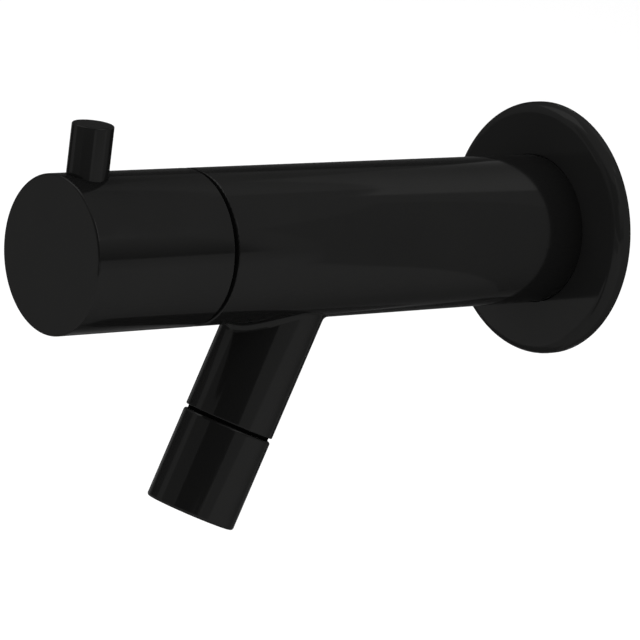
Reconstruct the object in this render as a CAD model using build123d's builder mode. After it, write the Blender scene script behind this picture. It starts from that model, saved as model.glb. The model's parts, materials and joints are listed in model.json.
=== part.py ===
from build123d import *
import math
import os

# Wall-mounted basin tap: a round barrel that stands out of a wall rose, a quarter-turn
# knob with a pin lever at its front end, and a short slanted spout with an aerator.
# The origin is on the tap's axis in the plane of the wall. The tap points along -Y, +Z is up.
# Lengths are in millimetres. A "reach" is a distance from the wall along the tap's axis.

# Overall form
tap_projection = 156.0
body_diameter = 38.0
body_wall = 3.5
body_edge_radius = 0.3
knob_length = 39.8
knob_gap = 1.2
knob_face_radius = 0.5

# Wall rose and its seals
rose_diameter = 65.0
rose_depth = 4.0
rose_edge_radius = 2.8
rose_wall = 1.5
rose_collar_width = 4.2
rose_bore_clearance = 0.15
rose_back_relief = 0.6
rose_ring_section = 2.0
gasket_clearance = 0.4

# Inlet nipple, G1/2 thread
pipe_thread_diameter = 20.955
nipple_reach = 15.0
nipple_bore = 12.0
nipple_socket_depth = 10.0
nipple_collar_diameter = 28.0
nipple_collar_thickness = 3.0
nipple_engagement = 10.0
nipple_end_chamfer = 0.8
inlet_washer_thickness = 1.5
body_back_reach = 1.0
collar_back_reach = 1.5

# Spout and nozzle
outlet_setback = 36.0
outlet_tilt = 21.0
outlet_diameter = 22.8
outlet_wall = 3.0
waterway_inset = 2.0
spout_length = 48.05
spout_saddle_radius = 2.0
spout_edge_radius = 0.3
spigot_diameter = 19.2
spigot_length = 9.75
nozzle_gap = 0.8
outlet_groove_depth = 0.8
nozzle_length = 23.55
nozzle_top_radius = 0.7
nozzle_tip_radius = 0.7
nozzle_lip_thickness = 1.4
nozzle_lip_width = 1.2

# Aerator
aerator_washer_thickness = 2.0
aerator_washer_bore = 13.0
aerator_wall = 1.3
aerator_ledge = 0.9
grid_thickness = 2.5
grid_rim_width = 0.6
grid_cell_across_flats = 2.0
grid_web = 0.5
grid_rows = 9
grid_smallest_cell_area = 0.8
jet_plate_thickness = 1.6
jet_diameter = 1.1
jet_inner_count = 8
jet_inner_radius = 2.4
jet_outer_count = 16
jet_outer_radius = 5.4

# Quarter-turn headwork
headwork_pocket_depth = 11.0
headwork_washer_thickness = 1.0
headwork_flange_diameter = 26.0
headwork_flange_gap = 1.45
headwork_flange_thickness = 2.5
headwork_hex = 17.0
headwork_hex_length = 6.0
headwork_neck_diameter = 13.2
headwork_neck_length = 3.0
headwork_thread_length = 10.0
headwork_length_below_flange = 26.2
cage_diameter = 18.2
cage_wall = 1.4
cage_window_length = 6.2
cage_window_width = 9.0
seat_wall_thickness = 6.0
seat_seal_thickness = 2.4
seat_seal_standout = 0.8
seat_seal_width = 2.0
valve_chamber_wall = 5.5

# Ceramic discs
disc_thickness = 3.0
disc_port_angle = 80.0
disc_port_inner_radius = 2.4
disc_port_rim = 1.4
disc_ear_width = 3.2
disc_ear_length = 1.2
disc_slot_depth = 1.4

# Spindle
spindle_diameter = 9.9
spindle_bore_clearance = 0.06
spindle_tongue_width = 3.2
spindle_tongue_span = 13.0
spindle_tongue_length = 4.0
spindle_collar_thickness = 2.0
spindle_washer_thickness = 0.6
spindle_ring_section = 1.5
spindle_ring_offset = 4.5
spindle_ring_pitch = 4.5
spindle_ring_count = 2
circlip_thickness = 0.8
circlip_groove_depth = 1.1
circlip_width = 2.2
circlip_opening = 4.0
spline_diameter = 7.9
spline_teeth = 20
spline_groove_radius = 0.32
spline_rib_radius = 0.24
spline_start_gap = 1.0
spindle_length_above_neck = 17.5

# Knob, its guide sleeve and its fixing
guide_wall = 1.5
guide_length = 20.0
guide_running_clearance = 0.1
knob_skirt_depth = 9.4
adaptor_diameter = 16.0
adaptor_start_gap = 3.5
adaptor_web = 1.8
adaptor_rim = 2.8
adaptor_groove_depth = 0.6
adaptor_screw_diameter = 4.0
adaptor_screw_length = 10.0
adaptor_screw_head_diameter = 7.2
adaptor_screw_head_height = 2.2
adaptor_screw_hex = 2.5
adaptor_screw_hex_depth = 1.4
grub_diameter = 5.0
grub_length = 6.0
grub_point = 1.0
grub_hex = 2.5
grub_hex_depth = 2.5

# Pin lever
lever_diameter = 10.0
lever_height = 12.0
lever_setback = 8.0
lever_edge_radius = 0.4
lever_seat_depth = 1.2
stud_diameter = 6.0
stud_length = 15.0
stud_in_lever = 7.0
stud_hex = 3.0
stud_hex_depth = 3.0

# Fits
seat_clearance = 0.05
thread_clearance = 0.05
screw_hole_clearance = 0.2
hole_end_clearance = 0.6

# Radii that several pieces share
body_radius = body_diameter / 2
chamber_radius = body_radius - body_wall
valve_chamber_radius = body_radius - valve_chamber_wall
rose_radius = rose_diameter / 2
pipe_radius = pipe_thread_diameter / 2
pipe_hole_radius = pipe_radius + thread_clearance
nipple_collar_radius = nipple_collar_diameter / 2
outlet_radius = outlet_diameter / 2
waterway_radius = outlet_radius - outlet_wall
spigot_radius = spigot_diameter / 2
nozzle_bore_radius = spigot_radius + thread_clearance
aerator_radius = nozzle_bore_radius - seat_clearance
aerator_bore_radius = aerator_radius - aerator_wall
flange_radius = headwork_flange_diameter / 2
neck_radius = headwork_neck_diameter / 2
cage_radius = cage_diameter / 2
cage_bore_radius = cage_radius - cage_wall
disc_radius = cage_bore_radius - seat_clearance
seat_port_radius = disc_radius - seat_seal_width
spindle_radius = spindle_diameter / 2
spindle_bore_radius = spindle_radius + spindle_bore_clearance
spindle_ring_radius = spindle_bore_radius - spindle_ring_section / 2
circlip_radius = spindle_radius - circlip_groove_depth
spline_radius = spline_diameter / 2
spline_bore_radius = spline_radius + seat_clearance
guide_bore_radius = flange_radius + headwork_flange_gap
guide_radius = guide_bore_radius + guide_wall
guide_pocket_radius = guide_radius + seat_clearance
skirt_radius = guide_radius + guide_running_clearance
adaptor_radius = adaptor_diameter / 2
adaptor_groove_radius = adaptor_radius - adaptor_groove_depth
adaptor_screw_radius = adaptor_screw_diameter / 2
adaptor_screw_head_radius = adaptor_screw_head_diameter / 2
grub_radius = grub_diameter / 2
lever_radius = lever_diameter / 2
stud_radius = stud_diameter / 2

# Reaches, from the wall outwards
collar_front_reach = collar_back_reach + nipple_collar_thickness
collar_floor_reach = collar_front_reach + inlet_washer_thickness
nipple_front_reach = collar_floor_reach + nipple_engagement
chamber_back_reach = nipple_front_reach + hole_end_clearance
knob_back_reach = tap_projection - knob_length
body_front_reach = knob_back_reach - knob_gap
outlet_root_reach = body_front_reach - outlet_setback
pocket_floor_reach = body_front_reach - headwork_pocket_depth
thread_end_reach = pocket_floor_reach - headwork_thread_length
flange_back_reach = pocket_floor_reach + headwork_washer_thickness
flange_front_reach = flange_back_reach + headwork_flange_thickness
hex_front_reach = flange_front_reach + headwork_hex_length
neck_front_reach = hex_front_reach + headwork_neck_length
cage_end_reach = flange_back_reach - headwork_length_below_flange
seat_face_reach = cage_end_reach - seat_seal_standout
seat_back_reach = seat_face_reach - seat_wall_thickness
fixed_disc_reach = seat_face_reach + seat_seal_thickness
moving_disc_reach = fixed_disc_reach + disc_thickness
moving_disc_front_reach = moving_disc_reach + disc_thickness
tongue_reach = moving_disc_front_reach - disc_slot_depth + seat_clearance
spindle_collar_reach = moving_disc_front_reach + spindle_tongue_length
spindle_washer_reach = spindle_collar_reach + spindle_collar_thickness
cage_shoulder_reach = spindle_washer_reach + spindle_washer_thickness
circlip_reach = neck_front_reach + seat_clearance
circlip_front_reach = circlip_reach + circlip_thickness
spline_start_reach = circlip_front_reach + spline_start_gap
spindle_tip_reach = neck_front_reach + spindle_length_above_neck
skirt_floor_reach = knob_back_reach + knob_skirt_depth
adaptor_back_reach = neck_front_reach + adaptor_start_gap
adaptor_web_reach = spindle_tip_reach + seat_clearance
adaptor_screw_seat_reach = adaptor_web_reach + adaptor_web
adaptor_front_reach = adaptor_screw_seat_reach + adaptor_rim
hub_floor_reach = adaptor_front_reach + seat_clearance
grub_reach = (skirt_floor_reach + spindle_tip_reach) / 2
lever_reach = tap_projection - lever_setback
spindle_ring_reaches = [
    cage_shoulder_reach + spindle_ring_offset + index * spindle_ring_pitch
    for index in range(spindle_ring_count)
]

# Heights of the pin lever above the tap's axis
lever_seat_height = body_radius - lever_seat_depth
stud_bottom_height = lever_seat_height + stud_in_lever - stud_length

# Distances down the outlet, from the tap's axis
waterway_start = valve_chamber_radius - waterway_inset
spigot_bore_start = spout_length - outlet_wall
spigot_end = spout_length + spigot_length
nozzle_top = spout_length + nozzle_gap
nozzle_tip = nozzle_top + nozzle_length
aerator_top = spigot_end + aerator_washer_thickness
jet_plate_seat = aerator_top + jet_plate_thickness
aerator_end = nozzle_tip - nozzle_lip_thickness
grid_top = aerator_end - grid_thickness

tap_axis = Axis((0, 0, 0), (0, -1, 0))
side_plane = Plane(origin=(0, 0, 0), x_dir=(0, -1, 0), z_dir=(-1, 0, 0))
outlet_angle = math.radians(outlet_tilt)
outlet_root = Vector(0, -outlet_root_reach, 0)
outlet_direction = Vector(0, -math.sin(outlet_angle), -math.cos(outlet_angle))
outlet_axis = Axis(outlet_root, outlet_direction)
outlet_side_plane = Plane(origin=outlet_root, x_dir=outlet_direction, z_dir=(-1, 0, 0))

os.makedirs("parts", exist_ok=True)


def across_tap(reach):
    """Plane across the tap's axis at a distance from the wall, facing out of the wall, +Z up."""
    return Plane(origin=(0, -reach, 0), x_dir=(1, 0, 0), z_dir=(0, -1, 0))


def across_outlet(distance):
    """Plane across the outlet at a distance from the tap's axis, facing down the outlet."""
    return Plane(origin=outlet_root + outlet_direction * distance, x_dir=(1, 0, 0), z_dir=outlet_direction)


def above_axis(reach, height):
    """Level plane at a height above the tap's axis, facing up."""
    return Plane(origin=(0, -reach, height), x_dir=(1, 0, 0), z_dir=(0, 0, 1))


def below_axis(reach, depth):
    """Level plane at a depth below the tap's axis, facing down."""
    return Plane(origin=(0, -reach, -depth), x_dir=(1, 0, 0), z_dir=(0, 0, -1))


def round_edges(piece, radius):
    """The round edges of a piece that have this radius."""
    return piece.edges().filter_by(GeomType.CIRCLE).filter_by(lambda edge: math.isclose(edge.radius, radius))


def port_sector(inner_radius, outer_radius, middle_angle):
    """A ring sector, the outline of one port of a disc."""
    start_angle = middle_angle - disc_port_angle / 2
    with BuildSketch() as sector:
        with BuildLine():
            inner = CenterArc((0, 0), inner_radius, start_angle, disc_port_angle)
            outer = CenterArc((0, 0), outer_radius, start_angle, disc_port_angle)
            Line(inner @ 0, outer @ 0)
            Line(inner @ 1, outer @ 1)
        make_face()
    return sector.sketch


def finish(piece, name):
    """Name a finished piece and write it to its file."""
    piece.part.label = name
    export_step(piece.part, f"parts/{name}.step")


# Tap body: barrel and spout in one casting, blended at the saddle, with the waterway inside
with BuildPart() as tap_body:
    with BuildSketch(across_tap(body_back_reach)):
        Circle(body_radius)
    extrude(amount=body_front_reach - body_back_reach)
    with BuildSketch(across_outlet(0)):
        Circle(outlet_radius)
    extrude(amount=spout_length)
    saddle = tap_body.edges(Select.NEW).filter_by(
        lambda edge: edge.geom_type not in (GeomType.CIRCLE, GeomType.LINE)
    )
    fillet(saddle, radius=spout_saddle_radius)
    fillet(round_edges(tap_body, outlet_radius), radius=spout_edge_radius)
    fillet(round_edges(tap_body, body_radius), radius=body_edge_radius)
    with BuildSketch(across_outlet(spout_length)):
        Circle(outlet_radius - outlet_groove_depth)
    extrude(amount=nozzle_gap - seat_clearance)
    with BuildSketch(across_outlet(spout_length)):
        Circle(spigot_radius)
    extrude(amount=spigot_length)
    with BuildSketch(side_plane):
        with BuildLine():
            Polyline(
                (body_back_reach, 0),
                (body_back_reach, nipple_collar_radius + seat_clearance),
                (collar_floor_reach, nipple_collar_radius + seat_clearance),
                (collar_floor_reach, pipe_hole_radius),
                (chamber_back_reach, pipe_hole_radius),
                (chamber_back_reach, chamber_radius),
                (seat_back_reach, chamber_radius),
                (seat_back_reach, seat_port_radius),
                (seat_face_reach, seat_port_radius),
                (seat_face_reach, valve_chamber_radius),
                (thread_end_reach, valve_chamber_radius),
                (thread_end_reach, pipe_hole_radius),
                (pocket_floor_reach, pipe_hole_radius),
                (pocket_floor_reach, guide_pocket_radius),
                (body_front_reach, guide_pocket_radius),
                (body_front_reach, 0),
                close=True,
            )
        make_face()
    revolve(axis=tap_axis, mode=Mode.SUBTRACT)
    with BuildSketch(across_outlet(waterway_start)):
        Circle(waterway_radius)
    extrude(amount=spigot_bore_start - waterway_start, mode=Mode.SUBTRACT)
    with BuildSketch(across_outlet(spigot_bore_start)):
        Circle(aerator_washer_bore / 2)
    extrude(amount=spigot_end - spigot_bore_start, mode=Mode.SUBTRACT)
finish(tap_body, "tap_body")

# Wall rose: a shallow shell with a grooved collar round the barrel
rose_bore_radius = body_radius + rose_bore_clearance
rose_collar_radius = rose_bore_radius + rose_collar_width
rose_rim_radius = rose_radius - rose_wall
rose_floor = rose_depth - rose_wall
rose_ring_reach = (rose_back_relief + rose_depth) / 2
rose_ring_radius = body_radius + rose_ring_section / 2
with BuildPart() as wall_rose:
    with BuildSketch(side_plane):
        with BuildLine():
            Polyline(
                (0, rose_radius),
                (rose_depth, rose_radius),
                (rose_depth, rose_bore_radius),
                (rose_back_relief, rose_bore_radius),
                (rose_back_relief, rose_collar_radius),
                (rose_floor, rose_collar_radius),
                (rose_floor, rose_rim_radius),
                (0, rose_rim_radius),
                close=True,
            )
        make_face()
        with Locations((rose_ring_reach, rose_ring_radius)):
            Rectangle(rose_ring_section, rose_ring_section, mode=Mode.SUBTRACT)
    revolve(axis=tap_axis)
    fillet(round_edges(wall_rose, rose_radius).sort_by(Axis.Y)[0], radius=rose_edge_radius)
finish(wall_rose, "wall_rose")

# O-ring that grips the barrel inside the rose
with BuildPart() as rose_o_ring:
    with BuildSketch(side_plane):
        with Locations((rose_ring_reach, rose_ring_radius)):
            Circle(rose_ring_section / 2 - seat_clearance)
    revolve(axis=tap_axis)
finish(rose_o_ring, "rose_o_ring")

# Foam gasket between the rose and the wall
with BuildPart() as rose_gasket:
    with BuildSketch(across_tap(0)):
        Circle(rose_rim_radius - gasket_clearance)
        Circle(rose_collar_radius + gasket_clearance, mode=Mode.SUBTRACT)
    extrude(amount=rose_floor)
finish(rose_gasket, "rose_gasket")

# Inlet nipple: pipe thread into the wall, collar, pipe thread into the body, hexagon socket
with BuildPart() as inlet_nipple:
    with BuildSketch(side_plane):
        with BuildLine():
            Polyline(
                (-nipple_reach, nipple_bore / 2),
                (-nipple_reach, pipe_radius - nipple_end_chamfer),
                (nipple_end_chamfer - nipple_reach, pipe_radius),
                (collar_back_reach, pipe_radius),
                (collar_back_reach, nipple_collar_radius),
                (collar_front_reach, nipple_collar_radius),
                (collar_front_reach, pipe_radius),
                (nipple_front_reach - nipple_end_chamfer, pipe_radius),
                (nipple_front_reach, pipe_radius - nipple_end_chamfer),
                (nipple_front_reach, nipple_bore / 2),
                close=True,
            )
        make_face()
    revolve(axis=tap_axis)
    with BuildSketch(across_tap(-nipple_reach)):
        RegularPolygon(nipple_bore / 2, side_count=6, major_radius=False)
    extrude(amount=nipple_socket_depth, mode=Mode.SUBTRACT)
finish(inlet_nipple, "inlet_nipple")

# Flat washer between the nipple's collar and the body
with BuildPart() as inlet_washer:
    with BuildSketch(across_tap(collar_front_reach)):
        Circle(nipple_collar_radius)
        Circle(pipe_hole_radius, mode=Mode.SUBTRACT)
    extrude(amount=inlet_washer_thickness)
finish(inlet_washer, "inlet_washer")

# Headwork body: hexagon, flange, thread and the windowed cage that holds the discs
window_middle_reach = spindle_collar_reach - cage_window_length / 2
with BuildPart() as headwork_body:
    with BuildSketch(side_plane):
        with BuildLine():
            Polyline(
                (cage_end_reach, cage_bore_radius),
                (cage_end_reach, cage_radius),
                (thread_end_reach, cage_radius),
                (thread_end_reach, pipe_radius),
                (flange_back_reach, pipe_radius),
                (flange_back_reach, flange_radius),
                (flange_front_reach, flange_radius),
                (flange_front_reach, neck_radius),
                (neck_front_reach, neck_radius),
                (neck_front_reach, spindle_bore_radius),
                (cage_shoulder_reach, spindle_bore_radius),
                (cage_shoulder_reach, cage_bore_radius),
                close=True,
            )
        make_face()
    revolve(axis=tap_axis)
    with BuildSketch(across_tap(flange_front_reach)):
        RegularPolygon(headwork_hex / 2, side_count=6, major_radius=False)
        Circle(spindle_bore_radius, mode=Mode.SUBTRACT)
    extrude(amount=headwork_hex_length)
    with BuildSketch(side_plane):
        with Locations((window_middle_reach, 0)):
            Rectangle(cage_window_length, cage_window_width)
    extrude(amount=cage_diameter, both=True, mode=Mode.SUBTRACT)
    with BuildSketch(across_tap(cage_end_reach)):
        Rectangle(disc_ear_width + 2 * seat_clearance, 2 * cage_diameter)
    extrude(amount=moving_disc_reach - cage_end_reach, mode=Mode.SUBTRACT)
finish(headwork_body, "headwork_body")

# Flat washer under the headwork's flange
with BuildPart() as headwork_washer:
    with BuildSketch(across_tap(pocket_floor_reach)):
        Circle(flange_radius)
        Circle(pipe_hole_radius, mode=Mode.SUBTRACT)
    extrude(amount=headwork_washer_thickness)
finish(headwork_washer, "headwork_washer")

# Soft seal between the fixed disc and the seat in the body
with BuildPart() as seat_seal:
    with BuildSketch(across_tap(seat_face_reach)):
        Circle(disc_radius)
        Circle(seat_port_radius, mode=Mode.SUBTRACT)
    extrude(amount=seat_seal_thickness)
finish(seat_seal, "seat_seal")

# Fixed ceramic disc: a port on each side, and two ears held in the cage's slots
with BuildPart() as fixed_disc:
    with BuildSketch(across_tap(fixed_disc_reach)):
        Circle(disc_radius)
        Rectangle(disc_ear_width, 2 * (disc_radius + disc_ear_length))
        for middle_angle in (0, 180):
            port = port_sector(disc_port_inner_radius, disc_radius - disc_port_rim, middle_angle)
            add(port, mode=Mode.SUBTRACT)
    extrude(amount=disc_thickness)
finish(fixed_disc, "fixed_disc")

# Moving ceramic disc: ports open to the rim, a quarter turn from the fixed ones when closed,
# and a slot across its front for the spindle's tongue
with BuildPart() as moving_disc:
    with BuildSketch(across_tap(moving_disc_reach)):
        Circle(disc_radius)
        for middle_angle in (90, 270):
            add(port_sector(disc_port_inner_radius, cage_radius, middle_angle), mode=Mode.SUBTRACT)
    extrude(amount=disc_thickness)
    with BuildSketch(across_tap(moving_disc_front_reach)):
        Rectangle(cage_diameter, spindle_tongue_width + 2 * seat_clearance)
    extrude(amount=-disc_slot_depth, mode=Mode.SUBTRACT)
finish(moving_disc, "moving_disc")

# Spindle: driving tongue, collar, ring grooves, circlip groove and splined end
spindle_screw_depth = adaptor_screw_length - (adaptor_screw_seat_reach - spindle_tip_reach)
with BuildPart() as spindle:
    with BuildSketch(side_plane):
        with BuildLine():
            Polyline(
                (spindle_collar_reach, 0),
                (spindle_collar_reach, disc_radius),
                (spindle_washer_reach, disc_radius),
                (spindle_washer_reach, spindle_radius),
                (spline_start_reach, spindle_radius),
                (spline_start_reach, 0),
                close=True,
            )
        make_face()
        for ring_reach in spindle_ring_reaches:
            with Locations((ring_reach, spindle_ring_radius)):
                Rectangle(spindle_ring_section, spindle_ring_section, mode=Mode.SUBTRACT)
        with Locations((circlip_reach, circlip_radius)):
            Rectangle(
                circlip_thickness + seat_clearance,
                circlip_width,
                align=(Align.MIN, Align.MIN),
                mode=Mode.SUBTRACT,
            )
    revolve(axis=tap_axis)
    with BuildSketch(across_tap(spline_start_reach)):
        Circle(spline_radius)
        with PolarLocations(spline_radius, spline_teeth):
            Circle(spline_groove_radius, mode=Mode.SUBTRACT)
    extrude(amount=spindle_tip_reach - spline_start_reach)
    with BuildSketch(across_tap(tongue_reach)):
        Rectangle(spindle_tongue_span, spindle_tongue_width)
    extrude(amount=spindle_collar_reach - tongue_reach)
    with BuildSketch(across_tap(spindle_tip_reach)):
        Circle(adaptor_screw_radius + thread_clearance)
    extrude(amount=-(spindle_screw_depth + hole_end_clearance), mode=Mode.SUBTRACT)
finish(spindle, "spindle")

# O-rings that seal the spindle in the headwork
with BuildPart() as spindle_o_rings:
    with BuildSketch(side_plane):
        for ring_reach in spindle_ring_reaches:
            with Locations((ring_reach, spindle_ring_radius)):
                Circle(spindle_ring_section / 2 - seat_clearance)
    revolve(axis=tap_axis)
finish(spindle_o_rings, "spindle_o_rings")

# Slip washer between the spindle's collar and the headwork
with BuildPart() as spindle_washer:
    with BuildSketch(across_tap(spindle_washer_reach)):
        Circle(disc_radius)
        Circle(spindle_bore_radius, mode=Mode.SUBTRACT)
    extrude(amount=spindle_washer_thickness)
finish(spindle_washer, "spindle_washer")

# Open spring clip that keeps the spindle in the headwork
with BuildPart() as spindle_circlip:
    with BuildSketch(across_tap(circlip_reach)):
        Circle(circlip_radius + seat_clearance + circlip_width)
        Circle(circlip_radius + seat_clearance, mode=Mode.SUBTRACT)
        Rectangle(circlip_opening, spindle_diameter, align=(Align.CENTER, Align.MAX), mode=Mode.SUBTRACT)
    extrude(amount=circlip_thickness)
finish(spindle_circlip, "spindle_circlip")

# Guide sleeve in the front of the body, on which the knob turns
with BuildPart() as guide_sleeve:
    with BuildSketch(across_tap(pocket_floor_reach)):
        Circle(guide_radius)
        Circle(guide_bore_radius, mode=Mode.SUBTRACT)
    extrude(amount=guide_length)
finish(guide_sleeve, "guide_sleeve")

# Spline adaptor: ribbed bore on the spindle, groove for the grub screw, seat for its own screw
with BuildPart() as spline_adaptor:
    with BuildSketch(across_tap(adaptor_back_reach)):
        Circle(adaptor_radius)
    extrude(amount=adaptor_front_reach - adaptor_back_reach)
    with BuildSketch(across_tap(adaptor_back_reach)):
        Circle(spline_bore_radius)
        with PolarLocations(spline_radius, spline_teeth):
            Circle(spline_rib_radius, mode=Mode.SUBTRACT)
    extrude(amount=adaptor_web_reach - adaptor_back_reach, mode=Mode.SUBTRACT)
    with BuildSketch(across_tap(adaptor_web_reach)):
        Circle(adaptor_screw_radius + screw_hole_clearance)
    extrude(amount=adaptor_web, mode=Mode.SUBTRACT)
    with BuildSketch(across_tap(adaptor_screw_seat_reach)):
        Circle(adaptor_screw_head_radius + screw_hole_clearance)
    extrude(amount=adaptor_rim, mode=Mode.SUBTRACT)
    with BuildSketch(side_plane):
        with Locations((grub_reach, adaptor_groove_radius)):
            Rectangle(
                grub_diameter + 2 * thread_clearance,
                adaptor_radius,
                align=(Align.CENTER, Align.MIN),
            )
    revolve(axis=tap_axis, mode=Mode.SUBTRACT)
finish(spline_adaptor, "spline_adaptor")

# Screw that holds the adaptor on the spindle
with BuildPart() as adaptor_screw:
    with BuildSketch(across_tap(adaptor_screw_seat_reach)):
        Circle(adaptor_screw_head_radius)
    extrude(amount=adaptor_screw_head_height)
    with BuildSketch(across_tap(adaptor_screw_seat_reach)):
        Circle(adaptor_screw_radius)
    extrude(amount=-adaptor_screw_length)
    with BuildSketch(across_tap(adaptor_screw_seat_reach + adaptor_screw_head_height)):
        RegularPolygon(adaptor_screw_hex / 2, side_count=6, major_radius=False)
    extrude(amount=-adaptor_screw_hex_depth, mode=Mode.SUBTRACT)
finish(adaptor_screw, "adaptor_screw")

# Knob: skirt over the guide sleeve, hub for the adaptor, seat for the pin lever
with BuildPart() as knob:
    with BuildSketch(side_plane):
        with BuildLine():
            Polyline(
                (knob_back_reach, skirt_radius),
                (knob_back_reach, body_radius),
                (tap_projection, body_radius),
                (tap_projection, 0),
                (hub_floor_reach, 0),
                (hub_floor_reach, adaptor_radius + seat_clearance),
                (skirt_floor_reach, adaptor_radius + seat_clearance),
                (skirt_floor_reach, skirt_radius),
                close=True,
            )
        make_face()
    revolve(axis=tap_axis)
    front_edge, *other_edges = round_edges(knob, body_radius).sort_by(Axis.Y)
    fillet(front_edge, radius=knob_face_radius)
    fillet(other_edges, radius=body_edge_radius)
    with BuildSketch(above_axis(lever_reach, lever_seat_height)):
        Circle(lever_radius + seat_clearance)
    extrude(amount=body_radius, mode=Mode.SUBTRACT)
    with BuildSketch(above_axis(lever_reach, lever_seat_height)):
        Circle(stud_radius + thread_clearance)
    extrude(amount=-(stud_length - stud_in_lever + hole_end_clearance), mode=Mode.SUBTRACT)
    with BuildSketch(below_axis(grub_reach, 0)):
        Circle(grub_radius + thread_clearance)
    extrude(amount=body_diameter, mode=Mode.SUBTRACT)
finish(knob, "knob")

# Grub screw under the knob, its point in the adaptor's groove
grub_tip_depth = adaptor_groove_radius + seat_clearance
with BuildPart() as knob_grub_screw:
    with BuildSketch(below_axis(grub_reach, grub_tip_depth)):
        Circle(grub_radius)
    extrude(amount=grub_length)
    chamfer(round_edges(knob_grub_screw, grub_radius).sort_by(Axis.Z)[-1], length=grub_point)
    with BuildSketch(below_axis(grub_reach, grub_tip_depth + grub_length)):
        RegularPolygon(grub_hex / 2, side_count=6, major_radius=False)
    extrude(amount=-grub_hex_depth, mode=Mode.SUBTRACT)
finish(knob_grub_screw, "knob_grub_screw")

# Pin lever on top of the knob
with BuildPart() as lever_pin:
    with BuildSketch(above_axis(lever_reach, lever_seat_height)):
        Circle(lever_radius)
    extrude(amount=lever_seat_depth + lever_height)
    fillet(round_edges(lever_pin, lever_radius).sort_by(Axis.Z)[-1], radius=lever_edge_radius)
    with BuildSketch(above_axis(lever_reach, lever_seat_height)):
        Circle(stud_radius + thread_clearance)
    extrude(amount=stud_in_lever + hole_end_clearance, mode=Mode.SUBTRACT)
finish(lever_pin, "lever_pin")

# Headless screw that joins the pin lever to the knob
with BuildPart() as lever_stud:
    with BuildSketch(above_axis(lever_reach, stud_bottom_height)):
        Circle(stud_radius)
    extrude(amount=stud_length)
    with BuildSketch(above_axis(lever_reach, stud_bottom_height)):
        RegularPolygon(stud_hex / 2, side_count=6, major_radius=False)
    extrude(amount=stud_hex_depth, mode=Mode.SUBTRACT)
finish(lever_stud, "lever_stud")

# Nozzle: sleeve on the spout's spigot, with an inner lip that carries the aerator
nozzle_lip_radius = nozzle_bore_radius - nozzle_lip_width
with BuildPart() as nozzle:
    with BuildSketch(outlet_side_plane):
        with BuildLine():
            Polyline(
                (nozzle_top, nozzle_bore_radius),
                (nozzle_top, outlet_radius),
                (nozzle_tip, outlet_radius),
                (nozzle_tip, nozzle_lip_radius),
                (aerator_end, nozzle_lip_radius),
                (aerator_end, nozzle_bore_radius),
                close=True,
            )
        make_face()
    revolve(axis=outlet_axis)
    tip_edge, top_edge = round_edges(nozzle, outlet_radius).sort_by(Axis.Z)
    fillet(tip_edge, radius=nozzle_tip_radius)
    fillet(top_edge, radius=nozzle_top_radius)
finish(nozzle, "nozzle")

# Rubber washer between the spout's end and the aerator
with BuildPart() as nozzle_washer:
    with BuildSketch(across_outlet(spigot_end)):
        Circle(aerator_radius)
        Circle(aerator_washer_bore / 2, mode=Mode.SUBTRACT)
    extrude(amount=aerator_washer_thickness)
finish(nozzle_washer, "nozzle_washer")

# Aerator shell with its honeycomb outlet
mixing_radius = aerator_bore_radius - aerator_ledge
with BuildSketch() as honeycomb:
    with HexLocations((grid_cell_across_flats + grid_web) / 2, grid_rows, grid_rows):
        RegularPolygon(grid_cell_across_flats / 2, side_count=6, major_radius=False, rotation=30)
    Circle(mixing_radius - grid_rim_width, mode=Mode.INTERSECT)
grid_cells = honeycomb.sketch.faces().filter_by(lambda cell: cell.area > grid_smallest_cell_area)
with BuildPart() as aerator_shell:
    with BuildSketch(outlet_side_plane):
        with BuildLine():
            Polyline(
                (aerator_top, aerator_bore_radius),
                (aerator_top, aerator_radius),
                (aerator_end, aerator_radius),
                (aerator_end, 0),
                (grid_top, 0),
                (grid_top, mixing_radius),
                (jet_plate_seat, mixing_radius),
                (jet_plate_seat, aerator_bore_radius),
                close=True,
            )
        make_face()
    revolve(axis=outlet_axis)
    with BuildSketch(across_outlet(grid_top)):
        add(grid_cells)
    extrude(amount=grid_thickness, mode=Mode.SUBTRACT)
finish(aerator_shell, "aerator_shell")

# Perforated plate that breaks the water into jets
with BuildPart() as aerator_jet_plate:
    with BuildSketch(across_outlet(aerator_top)):
        Circle(aerator_bore_radius - seat_clearance)
        with PolarLocations(jet_inner_radius, jet_inner_count):
            Circle(jet_diameter / 2, mode=Mode.SUBTRACT)
        with PolarLocations(jet_outer_radius, jet_outer_count):
            Circle(jet_diameter / 2, mode=Mode.SUBTRACT)
    extrude(amount=jet_plate_thickness)
finish(aerator_jet_plate, "aerator_jet_plate")
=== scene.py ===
"""Looks of a black wall-mounted basin tap: finishes, threads, studio and camera.

Everything is in metres in the tap's own frame: the origin is on the tap's axis in the
plane of the wall, the tap points along -Y and +Z is up. A "reach" is a distance from
the wall along the tap's axis, so a point at reach s has y = -s.
"""

import json
import logging
import math
from dataclasses import dataclass, field
from enum import Enum, IntEnum

import bpy
import numpy as np
from mathutils import Matrix, Vector


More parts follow.
